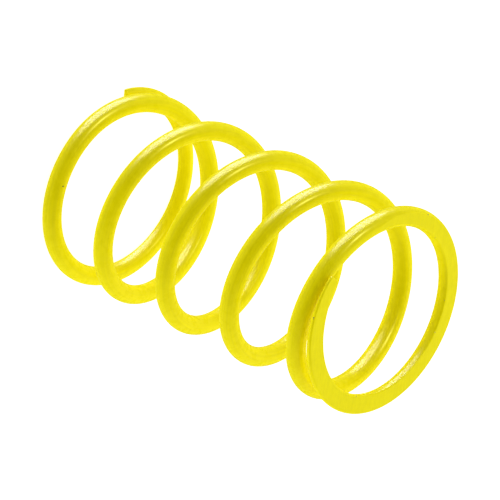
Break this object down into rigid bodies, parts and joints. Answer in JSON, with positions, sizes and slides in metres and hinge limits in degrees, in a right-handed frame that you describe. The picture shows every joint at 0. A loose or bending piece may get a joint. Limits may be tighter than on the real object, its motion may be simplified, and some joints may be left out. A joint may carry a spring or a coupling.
{
  "type": "coil spring",
  "caption": "Helical compression spring of painted round steel wire, wound left-handed, with closed ends ground flat; it presses two parts of a mechanism apart.",
  "frame": {"origin": "centre of the lower ground end, on the seat plane", "axes": "+Z along the spring's axis from the lower ground end to the upper one; +X points from the axis to the lower end's tip"},
  "size_m": [0.0631, 0.063, 0.1124],
  "materials": {
    "spring_paint": "gloss"
  },
  "bodies": {
    "lower_end": {"lower_end_coil_quarter_1": "spring_paint", "lower_end_coil_quarter_2": "spring_paint", "lower_end_coil_quarter_3": "spring_paint", "lower_end_coil_quarter_4": "spring_paint"},
    "active_coil_1_quarter_1": {"active_coil_1_quarter_1": "spring_paint"},
    "active_coil_1_quarter_2": {"active_coil_1_quarter_2": "spring_paint"},
    "active_coil_1_quarter_3": {"active_coil_1_quarter_3": "spring_paint"},
    "active_coil_1_quarter_4": {"active_coil_1_quarter_4": "spring_paint"},
    "active_coil_2_quarter_1": {"active_coil_2_quarter_1": "spring_paint"},
    "active_coil_2_quarter_2": {"active_coil_2_quarter_2": "spring_paint"},
    "active_coil_2_quarter_3": {"active_coil_2_quarter_3": "spring_paint"},
    "active_coil_2_quarter_4": {"active_coil_2_quarter_4": "spring_paint"},
    "active_coil_3_quarter_1": {"active_coil_3_quarter_1": "spring_paint"},
    "active_coil_3_quarter_2": {"active_coil_3_quarter_2": "spring_paint"},
    "active_coil_3_quarter_3": {"active_coil_3_quarter_3": "spring_paint"},
    "active_coil_3_quarter_4": {"active_coil_3_quarter_4": "spring_paint"},
    "active_coil_4_quarter_1": {"active_coil_4_quarter_1": "spring_paint"},
    "active_coil_4_quarter_2": {"active_coil_4_quarter_2": "spring_paint"},
    "active_coil_4_quarter_3": {"active_coil_4_quarter_3": "spring_paint"},
    "upper_end": {"active_coil_4_quarter_4": "spring_paint", "upper_end_coil_quarter_1": "spring_paint", "upper_end_coil_quarter_2": "spring_paint", "upper_end_coil_quarter_3": "spring_paint"}
  },
  "joints": [
    {"name": "compression", "type": "slide", "parent": "lower_end", "child": "upper_end", "axis": [0, 0, 1], "range_m": [-0.064, 0], "stiffness_N_per_m": 16350},
    {"name": "active_coil_1_quarter_1_travel", "type": "slide", "parent": "lower_end", "child": "active_coil_1_quarter_1", "axis": [0, 0, 1], "range_m": [-0.00115, 0]},
    {"name": "active_coil_1_quarter_2_travel", "type": "slide", "parent": "lower_end", "child": "active_coil_1_quarter_2", "axis": [0, 0, 1], "range_m": [-0.00564, 0]},
    {"name": "active_coil_1_quarter_3_travel", "type": "slide", "parent": "lower_end", "child": "active_coil_1_quarter_3", "axis": [0, 0, 1], "range_m": [-0.01015, 0]},
    {"name": "active_coil_1_quarter_4_travel", "type": "slide", "parent": "lower_end", "child": "active_coil_1_quarter_4", "axis": [0, 0, 1], "range_m": [-0.01465, 0]},
    {"name": "active_coil_2_quarter_1_travel", "type": "slide", "parent": "lower_end", "child": "active_coil_2_quarter_1", "axis": [0, 0, 1], "range_m": [-0.01916, 0]},
    {"name": "active_coil_2_quarter_2_travel", "type": "slide", "parent": "lower_end", "child": "active_coil_2_quarter_2", "axis": [0, 0, 1], "range_m": [-0.02367, 0]},
    {"name": "active_coil_2_quarter_3_travel", "type": "slide", "parent": "lower_end", "child": "active_coil_2_quarter_3", "axis": [0, 0, 1], "range_m": [-0.02817, 0]},
    {"name": "active_coil_2_quarter_4_travel", "type": "slide", "parent": "lower_end", "child": "active_coil_2_quarter_4", "axis": [0, 0, 1], "range_m": [-0.03268, 0]},
    {"name": "active_coil_3_quarter_1_travel", "type": "slide", "parent": "lower_end", "child": "active_coil_3_quarter_1", "axis": [0, 0, 1], "range_m": [-0.03718, 0]},
    {"name": "active_coil_3_quarter_2_travel", "type": "slide", "parent": "lower_end", "child": "active_coil_3_quarter_2", "axis": [0, 0, 1], "range_m": [-0.04169, 0]},
    {"name": "active_coil_3_quarter_3_travel", "type": "slide", "parent": "lower_end", "child": "active_coil_3_quarter_3", "axis": [0, 0, 1], "range_m": [-0.04619, 0]},
    {"name": "active_coil_3_quarter_4_travel", "type": "slide", "parent": "lower_end", "child": "active_coil_3_quarter_4", "axis": [0, 0, 1], "range_m": [-0.0507, 0]},
    {"name": "active_coil_4_quarter_1_travel", "type": "slide", "parent": "lower_end", "child": "active_coil_4_quarter_1", "axis": [0, 0, 1], "range_m": [-0.05521, 0]},
    {"name": "active_coil_4_quarter_2_travel", "type": "slide", "parent": "lower_end", "child": "active_coil_4_quarter_2", "axis": [0, 0, 1], "range_m": [-0.05971, 0]},
    {"name": "active_coil_4_quarter_3_travel", "type": "slide", "parent": "lower_end", "child": "active_coil_4_quarter_3", "axis": [0, 0, 1], "range_m": [-0.06355, 0]}
  ],
  "couplings": [
    {"joint": "active_coil_1_quarter_1_travel", "follows": "compression", "ratio": 0.01771},
    {"joint": "active_coil_1_quarter_2_travel", "follows": "compression", "ratio": 0.08792},
    {"joint": "active_coil_1_quarter_3_travel", "follows": "compression", "ratio": 0.15832},
    {"joint": "active_coil_1_quarter_4_travel", "follows": "compression", "ratio": 0.22873},
    {"joint": "active_coil_2_quarter_1_travel", "follows": "compression", "ratio": 0.29913},
    {"joint": "active_coil_2_quarter_2_travel", "follows": "compression", "ratio": 0.36954},
    {"joint": "active_coil_2_quarter_3_travel", "follows": "compression", "ratio": 0.43994},
    {"joint": "active_coil_2_quarter_4_travel", "follows": "compression", "ratio": 0.51035},
    {"joint": "active_coil_3_quarter_1_travel", "follows": "compression", "ratio": 0.58075},
    {"joint": "active_coil_3_quarter_2_travel", "follows": "compression", "ratio": 0.65116},
    {"joint": "active_coil_3_quarter_3_travel", "follows": "compression", "ratio": 0.72156},
    {"joint": "active_coil_3_quarter_4_travel", "follows": "compression", "ratio": 0.79197},
    {"joint": "active_coil_4_quarter_1_travel", "follows": "compression", "ratio": 0.86237},
    {"joint": "active_coil_4_quarter_2_travel", "follows": "compression", "ratio": 0.93278},
    {"joint": "active_coil_4_quarter_3_travel", "follows": "compression", "ratio": 0.99278}
  ]
}
